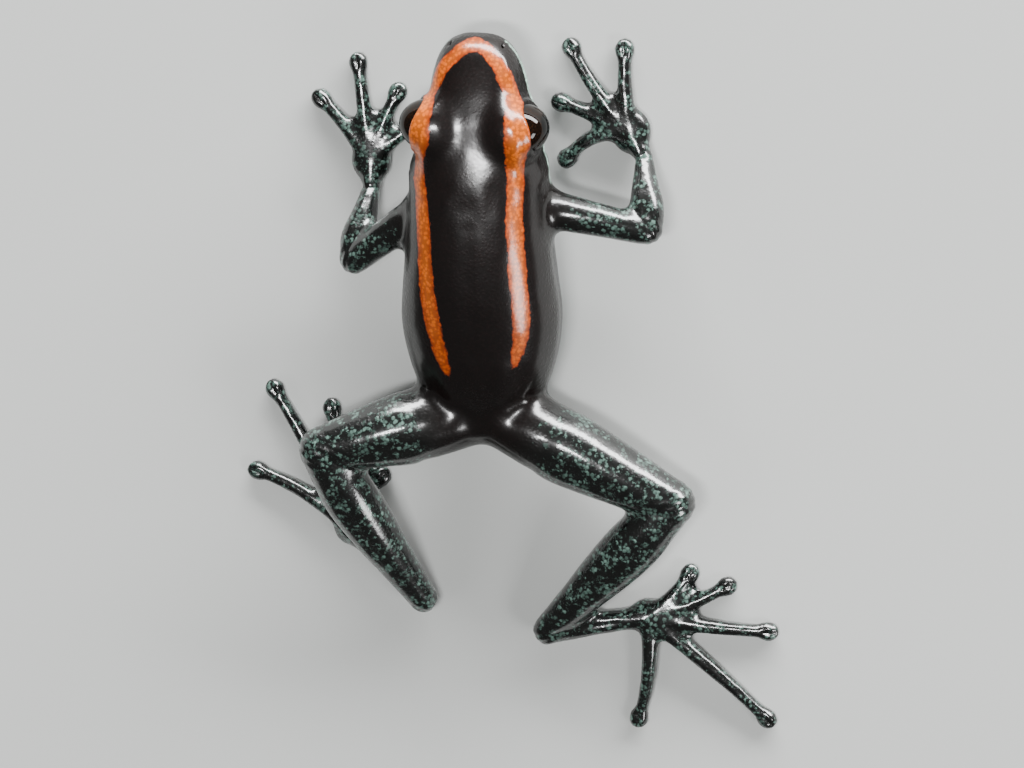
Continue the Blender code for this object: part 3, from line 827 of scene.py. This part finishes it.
# Marbling of the throat and belly: winding blotches about 1.4 mm across.
MARBLES_IN_A_MM = 0.7
marble = add_node(
    "ShaderNodeTexNoise",
    {"Scale": MARBLES_IN_A_MM / MM, "Detail": 3.0, "Distortion": 0.9},
    {"Vector": position},
)
under_share = add_node(
    "ShaderNodeMath",
    {"operation": "MULTIPLY_ADD", 1: 0.30},
    {0: at["under"], 2: tinted_share.outputs[0]},
)
marble_level = add_node(
    "ShaderNodeMath", {"operation": "ADD"}, {0: marble.outputs["Fac"], 1: under_share.outputs[0]}
)
marbling = add_node(
    "ShaderNodeMapRange",
    {"interpolation_type": "SMOOTHSTEP", "From Min": 0.84, "From Max": 0.89},
    {"Value": marble_level.outputs[0]},
)

# The stripes' edges wander by about 0.08 mm, and step from pebble to pebble.
wander = add_node(
    "ShaderNodeMapRange",
    {"To Min": -0.2, "To Max": 0.1},
    {"Value": ragged.outputs["Fac"]},
)
shift = add_node(
    "ShaderNodeMath",
    {"operation": "MULTIPLY_ADD", 1: 0.08},
    {0: pebble_tint.outputs[1], 2: wander.outputs[0]},
)
stripe_edge = add_node(
    "ShaderNodeMath", {"operation": "ADD"}, {0: at["stripe"], 1: shift.outputs[0]}
)
stripe_mask = add_node(
    "ShaderNodeMapRange",
    {"interpolation_type": "SMOOTHSTEP", "From Min": 0.06, "From Max": -0.06},
    {"Value": stripe_edge.outputs[0]},
)
lip_edge = add_node("ShaderNodeMath", {"operation": "ADD"}, {0: at["lip"], 1: shift.outputs[0]})
lip_mask = add_node(
    "ShaderNodeMapRange",
    {"interpolation_type": "SMOOTHSTEP", "From Min": 0.08, "From Max": -0.08},
    {"Value": lip_edge.outputs[0]},
)

# The pigment: near black, grey-green in the mottling's pebbles, pale green on the lip and orange
# in the stripes.
black = add_node(
    "ShaderNodeMix",
    {"data_type": "RGBA", 6: color("060303"), 7: color("110807")},
    {0: cloud.outputs["Fac"]},
)
dark_limb = add_node(
    "ShaderNodeMix",
    {"data_type": "RGBA", 7: color("050706")},
    {0: at["limb"], 6: black.outputs[2]},
)
pebble_green = add_node(
    "ShaderNodeMix",
    {"data_type": "RGBA", 6: color("24322D"), 7: color("566F66")},
    {0: pebble_tint.outputs[0]},
)
mottled = add_node(
    "ShaderNodeMix",
    {"data_type": "RGBA"},
    {0: limb_spots.outputs[0], 6: dark_limb.outputs[2], 7: pebble_green.outputs[2]},
)
marbled = add_node(
    "ShaderNodeMix",
    {"data_type": "RGBA", 7: color("44706A")},
    {0: marbling.outputs[0], 6: mottled.outputs[2]},
)
lipped = add_node(
    "ShaderNodeMix",
    {"data_type": "RGBA", 7: color("A7C3B5")},
    {0: lip_mask.outputs[0], 6: marbled.outputs[2]},
)
# Orange, deeper towards the stripes' edges, and uneven from pebble to pebble.
stripe_depth = add_node(
    "ShaderNodeMapRange", {"From Min": 0.0, "From Max": -0.45}, {"Value": stripe_edge.outputs[0]}
)
orange_share = add_node(
    "ShaderNodeMath",
    {"operation": "MULTIPLY_ADD", 1: 0.2},
    {0: pebble_tint.outputs[2], 2: stripe_depth.outputs[0]},
)
orange = add_node(
    "ShaderNodeMix",
    {"data_type": "RGBA", 6: color("9A3503"), 7: color("C25C0B")},
    {0: orange_share.outputs[0]},
)
striped = add_node(
    "ShaderNodeMix",
    {"data_type": "RGBA"},
    {0: stripe_mask.outputs[0], 6: lipped.outputs[2], 7: orange.outputs[2]},
)
# Painted shade: the mouth's line, the furrows of the discs, the nostrils and the gaps between
# pebbles are painted dark, standing in for the shade that would fall in them.
furrow_mask = add_node(
    "ShaderNodeMapRange",
    {"interpolation_type": "SMOOTHSTEP", "From Min": 0.09, "From Max": 0.02},
    {"Value": at["furrow"]},
)
hole_mask = add_node(
    "ShaderNodeMapRange",
    {"interpolation_type": "SMOOTHSTEP", "From Min": 0.14, "From Max": 0.08},
    {"Value": at["hole"]},
)
shaded = add_node(
    "ShaderNodeMath", {"operation": "MAXIMUM"}, {0: furrow_mask.outputs[0], 1: hole_mask.outputs[0]}
)
# Painted shade in the gaps between the pebbles, darkest at their edges.
painted_crevice_shade = add_node(
    "ShaderNodeMapRange",
    {"interpolation_type": "SMOOTHSTEP", "From Min": 0.3, "From Max": 0.65, "To Max": 0.45},
    {"Value": pebbles.outputs["Distance"]},
)
painted_shade_share = add_node(
    "ShaderNodeMath", {"operation": "MAXIMUM"}, {0: shaded.outputs[0], 1: painted_crevice_shade.outputs[0]}
)
# The skin's colour, with the painted shade of furrows, nostrils and pebble gaps laid over it.
skin_colour_with_painted_shade = add_node(
    "ShaderNodeMix",
    {"data_type": "RGBA", 7: color("050403")},
    {0: painted_shade_share.outputs[0], 6: striped.outputs[2]},
)

# Relief in shares of 0.04 mm: the pebbles, low on the back and full on limbs, flanks and belly,
# then the fine grain, then the furrows.
RELIEF = 0.04 * MM
rough_share = add_node(
    "ShaderNodeMath", {"operation": "MAXIMUM"}, {0: at["limb"], 1: at["flank"]}
)
pebble_height = add_node(
    "ShaderNodeMapRange", {"To Min": -0.25, "To Max": -0.8}, {"Value": rough_share.outputs[0]}
)
pebble_dome = add_node(
    "ShaderNodeMapRange",
    {"interpolation_type": "SMOOTHSTEP", "From Min": 0.05, "From Max": 0.62, "To Max": 0.5},
    {"Value": pebbles.outputs["Distance"]},
)
pebble_relief = add_node(
    "ShaderNodeMath",
    {"operation": "MULTIPLY"},
    {0: pebble_dome.outputs[0], 1: pebble_height.outputs[0]},
)
grain_relief = add_node(
    "ShaderNodeMath",
    {"operation": "MULTIPLY_ADD", 1: 0.07},
    {0: grain.outputs["Fac"], 2: pebble_relief.outputs[0]},
)
furrow_relief = add_node(
    "ShaderNodeMath",
    {"operation": "MULTIPLY_ADD", 1: -1.2},
    {0: furrow_mask.outputs[0], 2: grain_relief.outputs[0]},
)
relief = add_node(
    "ShaderNodeBump",
    {"Strength": 1.0, "Distance": RELIEF},
    {"Height": furrow_relief.outputs[0]},
)
# The film of slime over it is smoother than the skin below. It is fullest on the limbs, thinner
# on the back, thinnest on the flanks, and gone in the nostrils.
film_relief = add_node(
    "ShaderNodeBump",
    {"Strength": 0.2, "Distance": RELIEF},
    {"Height": furrow_relief.outputs[0]},
)
trunk_film = add_node(
    "ShaderNodeMapRange", {"To Min": 0.55, "To Max": 0.30}, {"Value": at["flank"]}
)
film_share = add_node(
    "ShaderNodeMath",
    {"operation": "MULTIPLY_ADD", 1: 0.30},
    {0: at["limb"], 2: trunk_film.outputs[0]},
)
film = add_node(
    "ShaderNodeMapRange",
    {"To Max": 0.0},
    {"Value": hole_mask.outputs[0], "To Min": film_share.outputs[0]},
)
# The skin is unevenly wet, and its nostrils are dull.
wetness = add_node(
    "ShaderNodeMapRange",
    {"To Min": 0.24, "To Max": 0.44},
    {"Value": grain.outputs["Fac"]},
)
roughness = add_node(
    "ShaderNodeMapRange",
    {"To Max": 0.9},
    {"Value": hole_mask.outputs[0], "To Min": wetness.outputs[0]},
)
sheen = add_node(
    "ShaderNodeMapRange", {"To Min": 0.35, "To Max": 0.0}, {"Value": hole_mask.outputs[0]}
)
tree_links.new(skin_colour_with_painted_shade.outputs[2], shader.inputs["Base Color"])
tree_links.new(roughness.outputs[0], shader.inputs["Roughness"])
tree_links.new(sheen.outputs[0], shader.inputs["Specular IOR Level"])
tree_links.new(relief.outputs[0], shader.inputs["Normal"])
tree_links.new(film.outputs[0], shader.inputs["Coat Weight"])
tree_links.new(film_relief.outputs[0], shader.inputs["Coat Normal"])
shader.inputs["IOR"].default_value = 1.3
shader.inputs["Coat Roughness"].default_value = 0.18
shader.inputs["Coat IOR"].default_value = 1.85

skin.data.materials.clear()
skin.data.materials.append(skin_material)

# The flat parts need fewer points than the face and fingers, so the skin is thinned out a little.
pick(skin)
thin = skin.modifiers.new("thin out", "DECIMATE")
thin.ratio = 0.70
bpy.ops.object.modifier_apply(modifier="thin out")
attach(skin, "root")
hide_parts(*flesh)


# The eyes. In life each is a wet ball with a clear bulging front, a very dark brown iris with
# bronze flecks and a black pupil that lies level. They are turned balls whose front is drawn
# out a little, and the iris is laid out round the way that each eye looks.
eye_material = bpy.data.materials.new("wet dark frog eye")
eye_material.use_nodes = True
tree_nodes = eye_material.node_tree.nodes
tree_links = eye_material.node_tree.links
shader = tree_nodes["Principled BSDF"]
FLECKS_IN_A_MM = 11.0
level_at = add_node("ShaderNodeAttribute", {"attribute_name": "level"}).outputs["Fac"]
height_at = add_node("ShaderNodeAttribute", {"attribute_name": "height"}).outputs["Fac"]
squashed = add_node("ShaderNodeMath", {"operation": "MULTIPLY", 1: 1.25}, {0: height_at})
round_iris = add_node("ShaderNodeCombineXYZ", {}, {0: level_at, 1: height_at})
round_pupil = add_node("ShaderNodeCombineXYZ", {}, {0: level_at, 1: squashed.outputs[0]})
iris_far = add_node("ShaderNodeVectorMath", {"operation": "LENGTH"}, {0: round_iris.outputs[0]})
pupil_far = add_node("ShaderNodeVectorMath", {"operation": "LENGTH"}, {0: round_pupil.outputs[0]})
position = add_node("ShaderNodeTexCoord").outputs["Object"]
flecks = add_node(
    "ShaderNodeTexNoise", {"Scale": FLECKS_IN_A_MM / MM, "Detail": 3.0}, {"Vector": position}
)
fleck_edge = add_node(
    "ShaderNodeMapRange",
    {"interpolation_type": "SMOOTHSTEP", "From Min": 0.50, "From Max": 0.72},
    {"Value": flecks.outputs["Fac"]},
)
iris = add_node(
    "ShaderNodeMix",
    {"data_type": "RGBA", 6: color("0B0604"), 7: color("2A180B")},
    {0: fleck_edge.outputs[0]},
)
in_iris = add_node(
    "ShaderNodeMapRange",
    {"interpolation_type": "SMOOTHSTEP", "From Min": 1.42, "From Max": 1.30},
    {"Value": iris_far.outputs["Value"]},
)
in_pupil = add_node(
    "ShaderNodeMapRange",
    {"interpolation_type": "SMOOTHSTEP", "From Min": 0.66, "From Max": 0.60},
    {"Value": pupil_far.outputs["Value"]},
)
ball = add_node(
    "ShaderNodeMix",
    {"data_type": "RGBA", 6: color("0A0807")},
    {0: in_iris.outputs[0], 7: iris.outputs[2]},
)
pupil = add_node(
    "ShaderNodeMix",
    {"data_type": "RGBA", 7: color("020202")},
    {0: in_pupil.outputs[0], 6: ball.outputs[2]},
)
tree_links.new(pupil.outputs[2], shader.inputs["Base Color"])
shader.inputs["Roughness"].default_value = 0.03
shader.inputs["IOR"].default_value = 1.38

# The clear front starts at this share of the radius. On the rear half the distances are spread,
# so that the iris keeps to the front.
CLEAR_FRONT_FROM = 0.55
CLEAR_FRONT_BULGE = 0.10 * MM
REAR_SPREAD = 3
for side, way in WAYS.items():
    gaze, level, height = eye_ways(way)
    bpy.ops.object.select_all(action="DESELECT")
    bpy.ops.mesh.primitive_uv_sphere_add(segments=72, ring_count=48, radius=EYE_RADIUS)
    eye = bpy.context.object
    eye.name = "eyeball_" + side
    places, normals = coordinates(eye.data)
    front = np.clip(places[:, 2] / EYE_RADIUS - CLEAR_FRONT_FROM, 0, 1) / (1 - CLEAR_FRONT_FROM)
    places[:, 2] += CLEAR_FRONT_BULGE * front**1.5
    move_to(eye.data, places)
    aim = gaze.to_track_quat("Z", "Y").to_matrix().to_4x4()
    eye.data.transform(Matrix.Translation(eye_centres[side]) @ aim)
    places, normals = coordinates(eye.data)
    offset = (places - np.array(eye_centres[side])) / MM
    spread = np.where(offset @ np.array(gaze) > 0, 1, REAR_SPREAD)
    for title, axis in (("level", level), ("height", height)):
        keep_at_points(eye.data, title, (offset @ np.array(axis)) * spread)
    bpy.ops.object.shade_smooth()
    eye.data.materials.append(eye_material)
    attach(eye, "root")
    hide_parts("eye_" + side)
